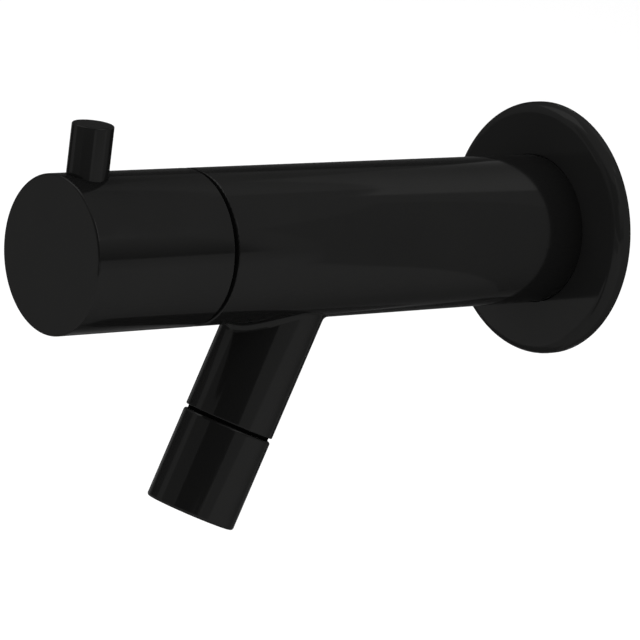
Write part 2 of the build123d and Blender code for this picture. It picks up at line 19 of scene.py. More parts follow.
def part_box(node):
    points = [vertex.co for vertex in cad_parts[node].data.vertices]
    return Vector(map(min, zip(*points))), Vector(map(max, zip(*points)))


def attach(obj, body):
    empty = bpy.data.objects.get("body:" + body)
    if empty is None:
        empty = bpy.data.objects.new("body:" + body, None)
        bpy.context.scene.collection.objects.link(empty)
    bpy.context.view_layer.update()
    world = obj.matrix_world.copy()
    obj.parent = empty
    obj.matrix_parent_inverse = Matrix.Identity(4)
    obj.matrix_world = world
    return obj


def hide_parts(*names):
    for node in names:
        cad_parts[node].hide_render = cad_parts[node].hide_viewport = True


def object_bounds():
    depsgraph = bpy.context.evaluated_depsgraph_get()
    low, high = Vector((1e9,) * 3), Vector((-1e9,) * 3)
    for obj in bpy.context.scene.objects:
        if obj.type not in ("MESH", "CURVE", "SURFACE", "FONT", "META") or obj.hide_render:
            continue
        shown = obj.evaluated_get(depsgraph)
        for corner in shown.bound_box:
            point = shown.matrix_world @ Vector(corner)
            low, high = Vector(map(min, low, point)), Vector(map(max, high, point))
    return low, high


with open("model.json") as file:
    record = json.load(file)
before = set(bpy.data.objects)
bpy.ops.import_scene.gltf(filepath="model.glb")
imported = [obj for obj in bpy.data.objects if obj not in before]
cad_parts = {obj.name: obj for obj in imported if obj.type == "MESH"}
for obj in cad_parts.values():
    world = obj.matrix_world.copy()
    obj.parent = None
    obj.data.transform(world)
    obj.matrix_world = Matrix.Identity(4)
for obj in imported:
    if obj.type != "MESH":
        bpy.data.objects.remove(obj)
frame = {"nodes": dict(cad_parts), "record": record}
CAD_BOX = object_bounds()

LOG = logging.getLogger("basin_tap")
MM = 0.001
FULL_TURN = 2.0 * math.pi
SHARP_EDGE = math.radians(32.0)
THREAD_FLAT = 0.15

# Most of a noise lies in this part of its range from 0 to 1.
PATTERN_MIDDLE = (0.3, 0.7)

# The Mix node names its sockets alike for numbers and colours, so they are taken by place.
MIX_NUMBERS = (2, 3)
MIX_NUMBER_RESULT = 0
MIX_COLORS = (6, 7)
MIX_COLOR_RESULT = 2


class Body(Enum):
    """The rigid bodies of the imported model."""

    FIXED = "fixed_body"
    HANDLE = "handle"


class Facing(Enum):
    """The direction in which a screw's head end points, as a unit vector."""

    OUT_OF_WALL = (0.0, -1.0, 0.0)
    DOWN = (0.0, 0.0, -1.0)


class RowKind(IntEnum):
    """What a row of the nipple's section is cut into."""

    PLAIN = 0
    THREAD = 1
    SOCKET = 2


class ShaderGraph:
    """A small builder for one procedural material."""

    def __init__(self, name: str) -> None:
        """Start a material with a Principled shader.

        Args:
            name: the material's name.
        """
        self.material = bpy.data.materials.new(name)
        self.material.use_nodes = True
        self.tree = self.material.node_tree
        self.tree.nodes.clear()
        self.output = self.tree.nodes.new("ShaderNodeOutputMaterial")
        self.shader = self.tree.nodes.new("ShaderNodeBsdfPrincipled")
        self.tree.links.new(self.shader.outputs["BSDF"], self.output.inputs["Surface"])
        self.place = self.tree.nodes.new("ShaderNodeTexCoord").outputs["Object"]

    def put(self, **values: float | tuple[float, ...]) -> None:
        """Set constant inputs of the shader, with spaces in their names written as underscores."""
        for name, value in values.items():
            self.shader.inputs[name.replace("_", " ")].default_value = value

    def feed(self, socket: bpy.types.NodeSocket, name: str) -> None:
        """Link a socket to an input of the shader."""
        self.tree.links.new(socket, self.shader.inputs[name])

    def stretched(self, scale: tuple[float, float, float]) -> bpy.types.NodeSocket:
        """Object coordinates with their own scale along each axis.

        Args:
            scale: factors along X, Y and Z.

        Returns:
            The vector socket of the scaled coordinates.
        """
        mapping = self.tree.nodes.new("ShaderNodeMapping")
        mapping.inputs["Scale"].default_value = scale
        self.tree.links.new(self.place, mapping.inputs["Vector"])
        return mapping.outputs["Vector"]

    def noise(
        self,
        scale: float,
        detail: float = 3.0,
        roughness: float = 0.5,
        place: bpy.types.NodeSocket | None = None,
    ) -> bpy.types.NodeSocket:
        """Fractal noise from 0 to 1.

        Args:
            scale: features per metre.
            detail: number of octaves.
            roughness: strength of the finer octaves.
            place: coordinates to read, the object's own when left out.

        Returns:
            The value socket of the noise.
        """
        texture = self.tree.nodes.new("ShaderNodeTexNoise")
        texture.inputs["Scale"].default_value = scale
        texture.inputs["Detail"].default_value = detail
        texture.inputs["Roughness"].default_value = roughness
        self.tree.links.new(place or self.place, texture.inputs["Vector"])
        return texture.outputs["Fac"]

    def cells(self, scale: float) -> bpy.types.NodeSocket:
        """Distance to the nearest cell centre.

        Args:
            scale: cells per metre.

        Returns:
            The distance socket.
        """
        texture = self.tree.nodes.new("ShaderNodeTexVoronoi")
        texture.inputs["Scale"].default_value = scale
        self.tree.links.new(self.place, texture.inputs["Vector"])
        return texture.outputs["Distance"]

    def ramp(
        self,
        value: bpy.types.NodeSocket,
        source: tuple[float, float],
        result: tuple[float, float],
    ) -> bpy.types.NodeSocket:
        """Map one range to another and hold the value at its ends.

        Args:
            value: the value to map.
            source: the range of the value.
            result: the range it is mapped to.

        Returns:
            The mapped socket.
        """
        mapped = self.tree.nodes.new("ShaderNodeMapRange")
        for side, ends in (("From", source), ("To", result)):
            for end, number in zip(("Min", "Max"), ends):
                mapped.inputs[f"{side} {end}"].default_value = number
        self.tree.links.new(value, mapped.inputs["Value"])
        return mapped.outputs["Result"]

    def spread(
        self, pattern: bpy.types.NodeSocket, low: float, high: float
    ) -> bpy.types.NodeSocket:
        """Map the middle of a 0 to 1 pattern to a range."""
        return self.ramp(pattern, PATTERN_MIDDLE, (low, high))

    def between(
        self,
        value: bpy.types.NodeSocket,
        first: tuple[float, float, float] | bpy.types.NodeSocket,
        second: tuple[float, float, float],
    ) -> bpy.types.NodeSocket:
        """Mix two colours by a pattern.

        Args:
            value: the pattern, 0 for the first colour and 1 for the second.
            first: linear colour, or the socket of one.
            second: linear colour.

        Returns:
            The mixed colour socket.
        """
        mix = self.tree.nodes.new("ShaderNodeMix")
        mix.data_type = "RGBA"
        first_input, second_input = (mix.inputs[place] for place in MIX_COLORS)
        self.tree.links.new(value, mix.inputs["Factor"])
        if isinstance(first, tuple):
            first_input.default_value = (*first, 1.0)
        else:
            self.tree.links.new(first, first_input)
        second_input.default_value = (*second, 1.0)
        return mix.outputs[MIX_COLOR_RESULT]

    def calculate(
        self,
        operation: str,
        value: bpy.types.NodeSocket,
        *constants: float,
    ) -> bpy.types.NodeSocket:
        """One step of arithmetic on a value.

        Args:
            operation: Blender's name of the operation.
            value: the value.
            constants: the numbers it is combined with.

        Returns:
            The result's socket.
        """
        step = self.tree.nodes.new("ShaderNodeMath")
        step.operation = operation
        self.tree.links.new(value, step.inputs[0])
        for number, constant in enumerate(constants, start=1):
            step.inputs[number].default_value = constant
        return step.outputs[0]

    def beyond(
        self,
        direction: tuple[float, float, float],
        distance: float,
    ) -> bpy.types.NodeSocket:
        """A mask that is 1 past a plane: the share of the place along a direction is compared.

        Args:
            direction: unit vector across the plane.
            distance: the plane's distance from the origin along it.

        Returns:
            The mask's socket.
        """
        share = self.tree.nodes.new("ShaderNodeVectorMath")
        share.operation = "DOT_PRODUCT"
        share.inputs[1].default_value = direction
        self.tree.links.new(self.place, share.inputs[0])
        return self.calculate("GREATER_THAN", share.outputs["Value"], distance)

    def relief(self, height: bpy.types.NodeSocket, depth: float) -> None:
        """Bump the surface by a pattern.

        Args:
            height: the pattern.
            depth: height of a step from 0 to 1, in metres.
        """
        bump = self.tree.nodes.new("ShaderNodeBump")
        bump.inputs["Strength"].default_value = 1.0
        bump.inputs["Distance"].default_value = depth
        self.tree.links.new(height, bump.inputs["Height"])
        self.feed(bump.outputs["Normal"], "Normal")


@dataclass(frozen=True)
class BlackPlating:
    """Polished black plating on brass: a dark mirror that stays dark at grazing angles.

    The mirror is a share of the surface, and the rest is matt in the same tone. Past a
    plane that a field gives as a direction and a distance, the surface is only matt and
    much darker: painted shade for the recess that lies there.
    """

    name: str
    turned_along: tuple[float, float, float]
    tone: float = 0.0165
    mirror: float = 0.6
    edge_tint: tuple[float, float, float] = (0.47, 0.47, 0.47)
    roughness: tuple[float, float] = (0.07, 0.13)
    cloud_scale: float = 55.0
    cloud_dark: tuple[float, float, float] = (0.93, 0.93, 0.92)
    cloud_light: tuple[float, float, float] = (1.07, 1.07, 1.05)
    polish_scale: float = 140.0
    mark_scale: float = 900.0
    mark_depth: float = 0.6e-6
    # Past this plane, a direction and a distance, shade in a recess is painted: the colour goes to
    # the tone on the next line and the mirror goes away.
    painted_shade_beyond: tuple[tuple[float, float, float], float] | None = None
    painted_shade_tone: float = 0.0015

    def build(self) -> bpy.types.Material:
        """Make the material: faint cloudy polish, very fine marks of turning, painted shade in
        recesses.

        Returns:
            The plating's material.
        """
        graph = ShaderGraph(self.name)
        cloud = graph.noise(self.cloud_scale, detail=4.0)
        dark, light = (
            tuple(self.tone * share for share in shares)
            for shares in (self.cloud_dark, self.cloud_light)
        )
        color = graph.between(cloud, dark, light)
        edge_tint = (*self.edge_tint, 1.0)
        graph.put(Metallic=self.mirror, Specular_IOR_Level=0.0, Specular_Tint=edge_tint)
        # Painted shade: past the plane the colour turns near black and the mirror goes away.
        if self.painted_shade_beyond:
            dull = graph.beyond(*self.painted_shade_beyond)
            color = graph.between(dull, color, (self.painted_shade_tone,) * 3)
            mirror = graph.calculate("MULTIPLY_ADD", dull, -self.mirror, self.mirror)
            graph.feed(mirror, "Metallic")
        graph.feed(color, "Base Color")
        polish = graph.noise(self.polish_scale, detail=5.0)
        graph.feed(graph.spread(polish, *self.roughness), "Roughness")
        along = graph.stretched(self.turned_along)
        graph.relief(graph.noise(self.mark_scale, detail=2.0, place=along), self.mark_depth)
        return graph.material


@dataclass(frozen=True)
class BareMetal:
    """Turned metal without plating, with the rings of the tool and a dull film in places."""

    name: str
    color: tuple[float, float, float]
    dull: tuple[float, float, float]
    turned_along: tuple[float, float, float] = (0.15, 1.0, 0.15)
    roughness: tuple[float, float] = (0.22, 0.38)
    film_scale: float = 160.0
    ring_scale: float = 2600.0
    ring_depth: float = 4e-6

    def build(self) -> bpy.types.Material:
        """Make the material: tool rings as relief, film as colour and roughness.

        Returns:
            The bare metal's material.
        """
        graph = ShaderGraph(self.name)
        film = graph.noise(self.film_scale, detail=6.0, roughness=0.6)
        color = graph.between(graph.spread(film, 0.0, 1.0), self.color, self.dull)
        graph.feed(color, "Base Color")
        graph.feed(graph.spread(film, *self.roughness), "Roughness")
        graph.put(Metallic=1.0)
        along = graph.stretched(self.turned_along)
        graph.relief(graph.noise(self.ring_scale, detail=2.0, place=along), self.ring_depth)
        return graph.material


@dataclass(frozen=True)
class Moulded:
    """Moulded plastic, rubber, fibre or fired ceramic with a fine uneven skin."""

    name: str
    color: tuple[float, float, float]
    shade: tuple[float, float, float]
    roughness: tuple[float, float]
    grain_scale: float = 900.0
    grain_depth: float = 8e-6
    gloss: float = 0.5
    cloud_scale: float = 120.0
    wear_scale: float = 420.0

    def build(self) -> bpy.types.Material:
        """Make the material: cloudy colour, uneven gloss and a fine grain as relief.

        Returns:
            The moulded piece's material.
        """
        graph = ShaderGraph(self.name)
        cloud = graph.noise(self.cloud_scale, detail=4.0)
        color = graph.between(graph.spread(cloud, 0.0, 1.0), self.color, self.shade)
        graph.feed(color, "Base Color")
        graph.feed(graph.spread(graph.noise(self.wear_scale), *self.roughness), "Roughness")
        graph.put(Specular_IOR_Level=self.gloss)
        graph.relief(graph.noise(self.grain_scale, detail=4.0), self.grain_depth)
        return graph.material


@dataclass(frozen=True)
class Foam:
    """Closed-cell foam sheet with its small open pores."""

    name: str
    color: tuple[float, float, float]
    # Colour at the bottom of a pore: painted shade in the hollow.
    painted_pore_shade: tuple[float, float, float]
    roughness: tuple[float, float] = (0.85, 0.97)
    pores_per_metre: float = 1500.0
    pore_depth: float = 0.18 * MM

    def build(self) -> bpy.types.Material:
        """Make the material: cell distance as relief and as colour, darker at each pore's bottom:
        painted shade in the pores.

        Returns:
            The foam's material.
        """
        graph = ShaderGraph(self.name)
        cell = graph.cells(self.pores_per_metre)
        graph.feed(graph.between(cell, self.painted_pore_shade, self.color), "Base Color")
        graph.feed(graph.spread(cell, *self.roughness), "Roughness")
        graph.relief(cell, self.pore_depth)
        return graph.material


# Scales along X, Y and Z that stretch a noise into rings round the tap's or the lever's axis.
TURNED_ON_TAP = (0.05, 1.0, 0.05)
TURNED_ON_LEVER = (0.05, 0.05, 1.0)

# Along the outlet, what lies further out than the spout's end face is the neck in its
# joint, where the body's plating paints shade near black.
OUTLET_TILT = math.radians(21.0)
OUTLET_DIRECTION = (0.0, -math.sin(OUTLET_TILT), -math.cos(OUTLET_TILT))
SPOUT_END = 76.4 * MM

# One finish for each material slot of the record.
FINISHES = {
    finish.name: finish
    for finish in (
        BlackPlating("black_plating", TURNED_ON_TAP),
        BareMetal("bare_brass", (0.62, 0.40, 0.15), (0.42, 0.26, 0.10)),
        BareMetal("steel", (0.42, 0.43, 0.44), (0.27, 0.27, 0.28), roughness=(0.25, 0.45)),
        Moulded("black_rubber", (0.012,) * 3, (0.02,) * 3, (0.55, 0.8), gloss=0.12),
        Moulded("red_silicone", (0.42, 0.06, 0.04), (0.33, 0.045, 0.03), (0.4, 0.6)),
        # Its second colour is painted shade at the bottoms of the pores.
        Foam("grey_foam", (0.05, 0.05, 0.052), (0.012, 0.012, 0.013)),
        Moulded("fibre", (0.30, 0.10, 0.06), (0.21, 0.07, 0.045), (0.7, 0.9), 1600.0, 2.5e-5),
        Moulded(
            "white_ceramic", (0.80, 0.79, 0.75), (0.74, 0.73, 0.69), (0.08, 0.16), 500.0, 1e-6
        ),
        Moulded("black_plastic", (0.012,) * 3, (0.018,) * 3, (0.35, 0.5), gloss=0.2),
        Moulded("white_plastic", (0.74, 0.74, 0.71), (0.66, 0.66, 0.63), (0.3, 0.45)),
        Moulded("grey_plastic", (0.10, 0.10, 0.105), (0.075, 0.075, 0.08), (0.3, 0.45)),
    )
}

# Plated pieces that differ from the slot's finish.
PLATINGS = {
    # The body's plating paints the neck in the spout's joint near black as shade.
    "tap_body": BlackPlating(
        "body_plating", TURNED_ON_TAP, painted_shade_beyond=(OUTLET_DIRECTION, SPOUT_END)
    ),
    "lever_pin": BlackPlating("lever_plating", TURNED_ON_LEVER),
    "wall_rose": BlackPlating("rose_plating", TURNED_ON_TAP, mirror=0.35),
}


def link_piece(name: str, points: np.ndarray, faces: list[list[int]]) -> bpy.types.Object:
    """Make a smooth piece with sharp edges kept, at the origin.

    Args:
        name: the piece's name.
        points: corners, n x 3, in metres.
        faces: corner numbers of each face.

    Returns:
        The linked object.
    """
    mesh = bpy.data.meshes.new(name)
    mesh.from_pydata(points.tolist(), [], faces)
    mesh.polygons.foreach_set("use_smooth", np.ones(len(mesh.polygons), dtype=bool))
    mesh.set_sharp_from_angle(angle=SHARP_EDGE)
    mesh.update()
    piece = bpy.data.objects.new(name, mesh)
    bpy.context.scene.collection.objects.link(piece)
    return piece


def ring_faces(rows: int, columns: int, closed: bool) -> np.ndarray:
    """Faces between rings of points, outwards where the angle grows round the rows' direction.

    Args:
        rows: number of rings.
        columns: points on a ring.
        closed: whether the last ring joins the first.

    Returns:
        Corner numbers, four to a face.
    """
    here = np.arange(rows)[:, None] * columns + np.arange(columns)[None, :]
    beside = np.roll(here, -1, axis=1)
    over, over_beside = np.roll(here, -1, axis=0), np.roll(beside, -1, axis=0)
    faces = np.stack([here, beside, over_beside, over], axis=-1)
    return (faces if closed else faces[:-1]).reshape(-1, 4)


def thread_depth(
    along: np.ndarray, angle: np.ndarray, pitch: float, depth: float
) -> np.ndarray:
    """How far a screw thread is cut below its outer diameter.

    The phase is the distance along the axis less the share of a pitch that the angle has
    climbed. A triangle wave of the phase, made taller and then clipped so that crest and
    root are flat, is the cut.

    Args:
        along: distances along the axis.
        angle: angles round the axis.
        pitch: distance from crest to crest.
        depth: depth of the thread.

    Returns:
        The cut at each point.
    """
    phase = along / pitch - angle / FULL_TURN
    wave = np.abs(2.0 * (phase - np.floor(phase)) - 1.0)
    taller = (1.0 + 2.0 * THREAD_FLAT) * wave - THREAD_FLAT
    return depth * np.clip(taller, 0.0, 1.0)


def hexagon_radius(angle: np.ndarray, across_flats: float) -> np.ndarray:
    """Distance from the centre to the wall of a hexagon.

    It is half the hexagon's width over the cosine of the angle from the nearest flat's middle.

    Args:
        angle: angles round the centre.
        across_flats: width between opposite flats.

    Returns:
        The radius at each angle.
    """
    sixth = FULL_TURN / 6.0
    from_flat = np.mod(angle, sixth) - sixth / 2.0
    return across_flats / 2.0 / np.cos(from_flat)


@dataclass
class TapFinish:
    """Gives every CAD piece the finish of its slot in the record."""

    slots: dict[str, str] = field(default_factory=dict)
    materials: dict[str, bpy.types.Material] = field(default_factory=dict)

    def prepare(self) -> None:
        """Build each finish once and read which piece has which slot."""
        self.materials = {slot: finish.build() for slot, finish in FINISHES.items()}
        for node, plating in PLATINGS.items():
            self.materials[node] = plating.build()
        self.slots = {row["node"]: row["material_slot"] for row in frame["record"]["subparts"]}

    def dress(self) -> None:
        """Put the finish on every CAD piece."""
        for node, slot in self.slots.items():
            key = node if node in self.materials else slot
            self.coat(frame["nodes"][node], key)
            LOG.info("%s: %s", node, key)

    def coat(self, piece: bpy.types.Object, key: str) -> None:
        """Make a finish the only material of a piece."""
        piece.data.materials.clear()
        piece.data.materials.append(self.materials[key])


@dataclass
class InletNipple:
    """Double nipple with G1/2 threads on both sides of its collar and a hexagon socket."""

    node: str = "inlet_nipple"
    pitch: float = 1.814 * MM
    depth: float = 1.162 * MM
    run_out: float = 1.2 * MM
    chamfer: float = 1.3 * MM
    collar_radius: float = 14.0 * MM
    collar_edge: float = 0.4 * MM
    outer_radius: float = 20.955 / 2 * MM
    bore: float = 12.0 * MM
    socket_depth: float = 10.0 * MM
    socket_step: float = 0.02 * MM
    collar_back: float = 1.5 * MM
    collar_front: float = 4.5 * MM
    columns: int = 120
    rows_per_pitch: int = 10

    def section(self) -> tuple[np.ndarray, np.ndarray, np.ndarray]:
        """The closed section, from the wall end over the outside and back through the bore.

        Returns:
            Reach, plain radius and kind of each row.
        """
        low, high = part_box(self.node)
        back, front = -high.y, -low.y
        step = self.pitch / self.rows_per_pitch
        wall_thread = np.arange(back, self.collar_back, step)
        body_thread = np.arange(self.collar_front + step, front, step)
        radius, edge = self.collar_radius, self.collar_edge
        collar = np.array(
            [
                (self.collar_back, self.outer_radius - self.depth),
                (self.collar_back, radius - edge),
                (self.collar_back + edge, radius),
                (self.collar_front - edge, radius),
                (self.collar_front, radius - edge),
                (self.collar_front, self.outer_radius - self.depth),
            ]
        )
        half_bore = self.bore / 2.0
        socket_floor = back + self.socket_depth
        bore = np.array([front, socket_floor + self.socket_step, socket_floor, back])
        reach = np.concatenate([wall_thread, collar[:, 0], body_thread, [front], bore])
        plain = np.concatenate(
            [
                np.full(wall_thread.size, self.outer_radius),
                collar[:, 1],
                np.full(body_thread.size, self.outer_radius),
                [self.outer_radius],
                np.full(bore.size, half_bore),
            ]
        )
        kind = np.concatenate(
            [
                np.full(wall_thread.size, RowKind.THREAD),
                np.full(len(collar), RowKind.PLAIN),
                np.full(body_thread.size + 1, RowKind.THREAD),
                [RowKind.PLAIN, RowKind.PLAIN, RowKind.SOCKET, RowKind.SOCKET],
            ]
        )
        return reach, plain, kind

    def build(self, finish: TapFinish) -> bpy.types.Object:
        """Carry the section round the axis, cut the threads and press the socket.

        The radius at angle a and reach s is the plain radius less the thread's cut. Near
        the ends the outside also stays below a 45 degree chamfer, and near the collar the
        thread runs out to its root.

        Args:
            finish: the finishes to take the brass from.

        Returns:
            The finished piece.
        """
        reach, plain, kind = self.section()
        angle = np.arange(self.columns) / self.columns * FULL_TURN
        s, a = np.meshgrid(reach, angle, indexing="ij")
        radius = np.repeat(plain[:, None], self.columns, axis=1)
        threaded = kind[:, None] == RowKind.THREAD
        hexagonal = kind[:, None] == RowKind.SOCKET
        to_end = np.minimum(s - reach.min(), reach.max() - s)
        to_collar = np.minimum(np.abs(s - self.collar_back), np.abs(s - self.collar_front))
        root = self.outer_radius - self.depth
        cut = np.maximum(
            thread_depth(s, a, self.pitch, self.depth),
            self.depth * np.clip(1.0 - to_collar / self.run_out, 0.0, 1.0),
        )
        below_chamfer = self.outer_radius - self.chamfer + to_end
        radius = np.where(threaded, np.minimum(radius - cut, below_chamfer), radius)
        radius = np.where(threaded, np.maximum(radius, np.minimum(root, below_chamfer)), radius)
        radius = np.where(hexagonal, hexagon_radius(a, self.bore), radius)
        points = np.stack([radius * np.cos(a), -s, radius * np.sin(a)], axis=-1)
        faces = ring_faces(reach.size, self.columns, closed=True).tolist()
        piece = link_piece("threaded_nipple", points.reshape(-1, 3), faces)
        finish.coat(piece, "bare_brass")
        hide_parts(self.node)
        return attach(piece, Body.FIXED.value)


@dataclass
class PressedRing:
    """The rose's rubber ring as it sits, pressed flat on the barrel."""

    node: str = "rose_o_ring"
    barrel_radius: float = 19.0 * MM
    squareness: float = 2.6
    columns: int = 180
    rows: int = 28

    def build(self, finish: TapFinish) -> bpy.types.Object:
        """Carry a squarish oval round the axis, from the barrel to the ring's outer diameter.

        The oval's radius and reach at angle t are its middle plus its half width times the
        cosine and sine of t, each raised to two over the squareness with its sign kept.

        Args:
            finish: the finishes to take the rubber from.

        Returns:
            The finished piece.
        """
        low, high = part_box(self.node)
        middle = (high.x + self.barrel_radius) / 2.0
        turn = -np.arange(self.rows) / self.rows * FULL_TURN
        wide, deep = (
            np.sign(part) * np.abs(part) ** (2.0 / self.squareness)
            for part in (np.cos(turn), np.sin(turn))
        )
        radius = middle + (high.x - middle) * wide[:, None]
        place = (high.y + low.y) / 2.0 + (high.y - low.y) / 2.0 * deep[:, None]
        angle = np.arange(self.columns)[None, :] / self.columns * FULL_TURN
        points = np.stack(
            [radius * np.cos(angle), place + 0.0 * angle, radius * np.sin(angle)], axis=-1
        )
        faces = ring_faces(self.rows, self.columns, closed=True)
        piece = link_piece("pressed_rose_ring", points.reshape(-1, 3), faces.tolist())
        finish.coat(piece, "black_rubber")
        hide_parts(self.node)
        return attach(piece, Body.FIXED.value)


@dataclass
class SocketScrew:
    """A threaded screw with a hexagon socket in its CAD piece's place, with or without a head."""

    node: str
    facing: Facing
    radius: float
    pitch: float
    thread_cut: float
    tip_chamfer: float
    socket: float
    socket_depth: float
    head_radius: float = 0.0
    head_height: float = 0.0
    head_edge: float = 0.3 * MM
    columns: int = 60
    rows_per_pitch: int = 8

    def section(self, length: float) -> list[tuple[float, float, bool, bool]]:
        """The section from the tip's rim over the outside into the socket.

        Args:
            length: length of the screw with its head.

        Returns:
            Rows of distance from the tip, radius, whether threaded and whether hexagonal.
        """
        shank = length - self.head_height
        count = int(shank / self.pitch * self.rows_per_pitch)
        turns = np.linspace(0.0, shank, count).tolist()
        rows = [(along, self.radius, True, False) for along in turns]
        if self.head_height:
            edge, wide = self.head_edge, self.head_radius
            head = (
                (shank, wide - edge / 2),
                (shank + edge / 2, wide),
                (length - edge, wide),
                (length, wide - edge),
            )
            rows += [(along, radius, False, False) for along, radius in head]
        socket = (length, length - self.socket_depth)
        return rows + [(along, self.socket / 2, False, True) for along in socket]

    def build(self, finish: TapFinish) -> bpy.types.Object:
        """Carry the section round the screw's axis and close both ends at the axis.

        The radius at angle a and distance t from the tip is the section's radius less the
        thread's cut, below 45 degree chamfers at the thread's ends.

        Args:
            finish: the finishes to take the steel from.

        Returns:
            The finished piece.
        """
        low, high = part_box(self.node)
        along_axis = np.array(self.facing.value)
        across = np.array((1.0, 0.0, 0.0))
        beside = np.cross(along_axis, across)
        extent = np.abs(along_axis) @ (np.array(high) - np.array(low))
        tip = (np.array(high) + np.array(low)) / 2.0 - along_axis * extent / 2.0
        rows = self.section(extent)
        along, plain, threaded, hexagonal = (np.array(column)[:, None] for column in zip(*rows))
        angle = np.arange(self.columns)[None, :] / self.columns * FULL_TURN
        shank = extent - self.head_height
        far_chamfer = 0.0 if self.head_height else self.thread_cut
        cut = np.maximum(
            thread_depth(along, angle, self.pitch, self.thread_cut),
            np.maximum(self.tip_chamfer - along, far_chamfer - (shank - along)),
        )
        radius = np.where(threaded, plain - cut, plain + 0.0 * angle)
        radius = np.where(hexagonal, hexagon_radius(angle, self.socket), radius)
        round_axis = across * np.cos(angle)[..., None] + beside * np.sin(angle)[..., None]
        rings = tip + along_axis * along[..., None] + round_axis * radius[..., None]
        ends = np.array([tip, tip + along_axis * (extent - self.socket_depth)])
        points = np.concatenate([rings.reshape(-1, 3), ends])
        faces = ring_faces(len(rows), self.columns, closed=False).tolist()
        first = np.arange(self.columns)
        after = np.roll(first, -1)
        last_ring = (len(rows) - 1) * self.columns
        tip_point = np.full_like(first, len(rows) * self.columns)
        floor_point = tip_point + 1
        faces += np.stack([after, first, tip_point], axis=1).tolist()
        faces += np.stack([last_ring + first, last_ring + after, floor_point], axis=1).tolist()
        piece = link_piece(f"{self.node}_threaded", points, faces)
        finish.coat(piece, "steel")
        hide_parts(self.node)
        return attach(piece, Body.HANDLE.value)


SCREWS = (
    SocketScrew(
        "knob_grub_screw",
        Facing.DOWN,
        radius=2.5 * MM,
        pitch=0.8 * MM,
        thread_cut=0.49 * MM,
        tip_chamfer=1.0 * MM,
        socket=2.5 * MM,
        socket_depth=2.5 * MM,
    ),
    SocketScrew(
        "lever_stud",
        Facing.DOWN,
        radius=3.0 * MM,
        pitch=1.0 * MM,
        thread_cut=0.61 * MM,
        tip_chamfer=0.61 * MM,
        socket=3.0 * MM,
        socket_depth=3.0 * MM,
    ),
    SocketScrew(
        "adaptor_screw",
        Facing.OUT_OF_WALL,
        radius=2.0 * MM,
        pitch=0.7 * MM,
        thread_cut=0.43 * MM,
        tip_chamfer=0.43 * MM,
        socket=2.5 * MM,
        socket_depth=1.4 * MM,
        head_radius=3.6 * MM,
        head_height=2.2 * MM,
    ),
)


@dataclass
class StudioCamera:
    """The photograph's viewpoint: turn, height and roll in degrees, and distance from a point."""

    azimuth: float = 48.96
    elevation: float = 13.82
    roll: float = 7.53
    distance: float = 0.94307
    target: tuple[float, float, float] = (0.0, -0.07119, -0.02064)
    sensor: float = 36.0
    focal_pixels: float = 3812.1
    picture_width: float = 640.0
    near: float = 0.01
    far: float = 100.0

    def build(self) -> bpy.types.Object:
        """Make the camera and set it as the scene's own.

        Returns:
            The camera object.
        """
        turn, height, roll = map(math.radians, (self.azimuth, self.elevation, self.roll))
        flat = math.cos(height)
        back = Vector((math.sin(turn) * flat, -math.cos(turn) * flat, math.sin(height)))
        level = Vector((math.cos(turn), math.sin(turn), 0.0))
        upright = back.cross(level)
        right = level * math.cos(roll) + upright * math.sin(roll)
        up = upright * math.cos(roll) - level * math.sin(roll)
        data = bpy.data.cameras.new("camera")
        data.sensor_width = self.sensor
        data.lens = self.focal_pixels / self.picture_width * self.sensor
        data.clip_start = self.near
        data.clip_end = self.far
        camera = bpy.data.objects.new("camera", data)
        turned = Matrix((right, up, back)).transposed().to_4x4()
        place = Vector(self.target) + back * self.distance
        camera.matrix_world = Matrix.Translation(place) @ turned
        bpy.context.scene.collection.objects.link(camera)
        bpy.context.scene.camera = camera
        return camera


STUDIO_CENTRE = (0.0, -0.1, 0.0)
PANEL_POINTS = 13


@dataclass(frozen=True)
class Panel:
    """A card or lamp front that only mirrors see, with its radiance, where 1 is white.

    With a top radiance it fades from its lower to its upper edge.
    """

    name: str
    radiance: float
    top_radiance: float | None = field(default=None, kw_only=True)

    def points(self) -> np.ndarray:
        """The panel's grid of points, with height along the first axis."""
        raise NotImplementedError


@dataclass(frozen=True)
class SpherePanel(Panel):
    """A patch of a sphere round the tap, by degrees of azimuth from the front and of elevation."""

    azimuth: tuple[float, float]
    elevation: tuple[float, float]
    distance: float

    def points(self) -> np.ndarray:
        """The centre plus the distance along the direction of each azimuth and elevation.

        Returns:
            The grid of points, with height along the first axis.
        """
        azimuth = np.radians(np.linspace(*self.azimuth, PANEL_POINTS))
        elevation = np.radians(np.linspace(*self.elevation, PANEL_POINTS))
        e, a = np.meshgrid(elevation, azimuth, indexing="ij")
        direction = [np.sin(a) * np.cos(e), -np.cos(a) * np.cos(e), np.sin(e)]
        return np.array(STUDIO_CENTRE) + np.stack(direction, axis=-1) * self.distance


@dataclass(frozen=True)
class WallPanel(Panel):
    """A flat panel just behind the plane of the wall, with a near side that slants.

    Its lower edge makes the line along the barrel's lower half.
    """

    near_side: tuple[float, float]
    far_side: float
    height: tuple[float, float]
    behind: float

    def points(self) -> np.ndarray:
        """Even steps up, and across from the near to the far side, at one depth.

        Returns:
            The grid of points, with height along the first axis.
        """
        near_side = np.linspace(*self.near_side, PANEL_POINTS)
        x = np.linspace(near_side, self.far_side, PANEL_POINTS, axis=1)
        z = np.linspace(*self.height, PANEL_POINTS)[:, None] + 0.0 * x
        return np.stack([x, np.full_like(x, self.behind), z], axis=-1)


